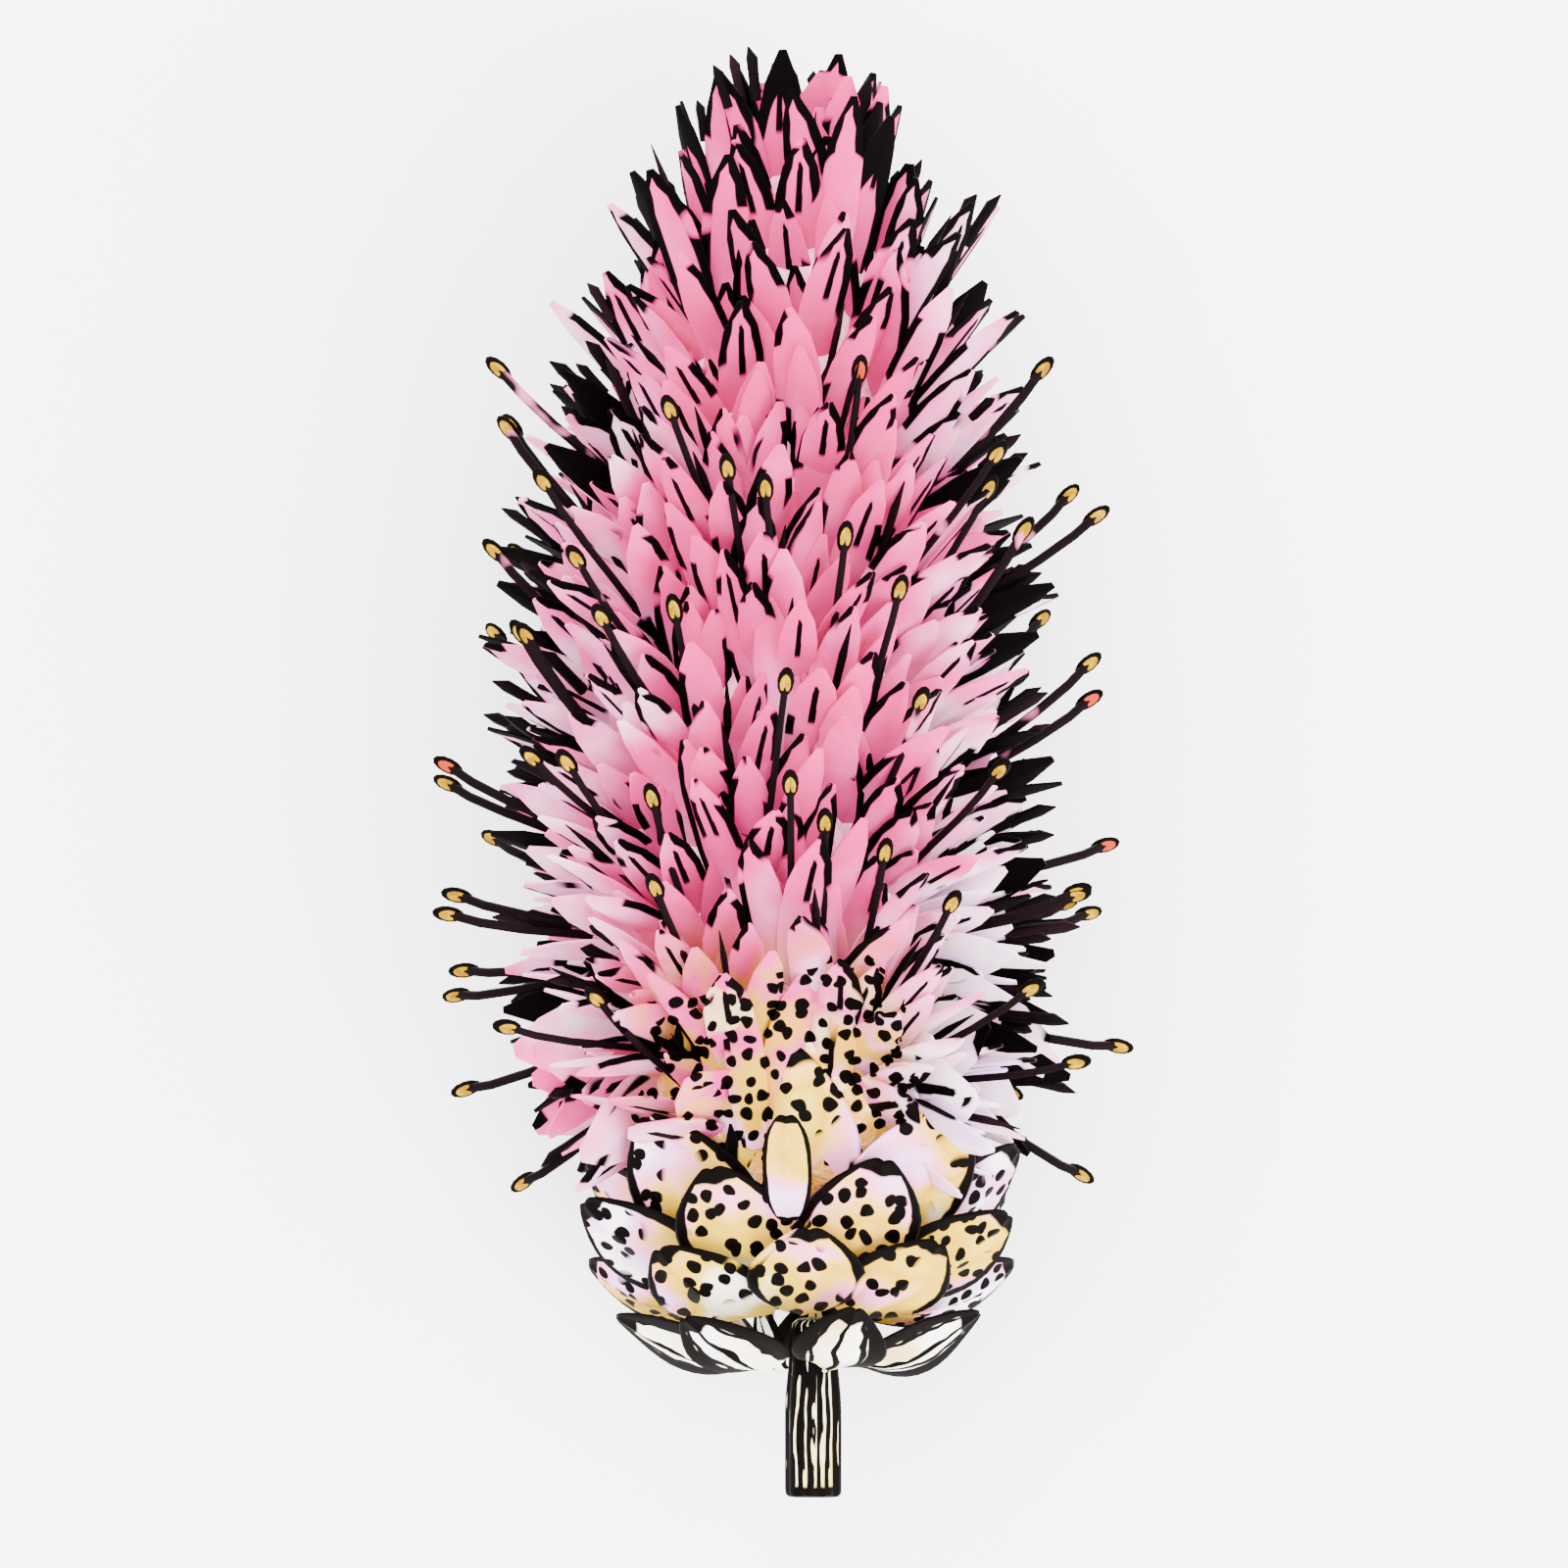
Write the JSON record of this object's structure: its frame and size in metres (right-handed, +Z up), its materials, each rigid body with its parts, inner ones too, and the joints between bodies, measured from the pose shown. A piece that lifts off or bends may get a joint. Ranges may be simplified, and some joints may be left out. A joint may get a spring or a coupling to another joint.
{
  "type": "cut pink mulla mulla flower spike",
  "caption": "Cut flower spike lying on its side: short ribbed stem, papery and speckled bracts in a cup, and a dense head of pointed tepals with standing stamens.",
  "frame": {"origin": "middle of the outline, on the surface the spike lies on", "axes": "+Y along the spike from the stem's cut end to the tip, +Z up off the surface, +X to the right in the picture"},
  "size_m": [0.0506, 0.1051, 0.0387],
  "materials": {
    "stem": "matte, ribbed lengthways",
    "tepals": "soft and papery",
    "speckled_bract": "papery with dark dots",
    "papery_bract": "thin and papery"
  },
  "bodies": {
    "root": {"stem_and_rachis": "stem", "pink_flower_head": "tepals", "speckled_bracts": "speckled_bract", "papery_bracts": "papery_bract"}
  },
  "joints": []
}
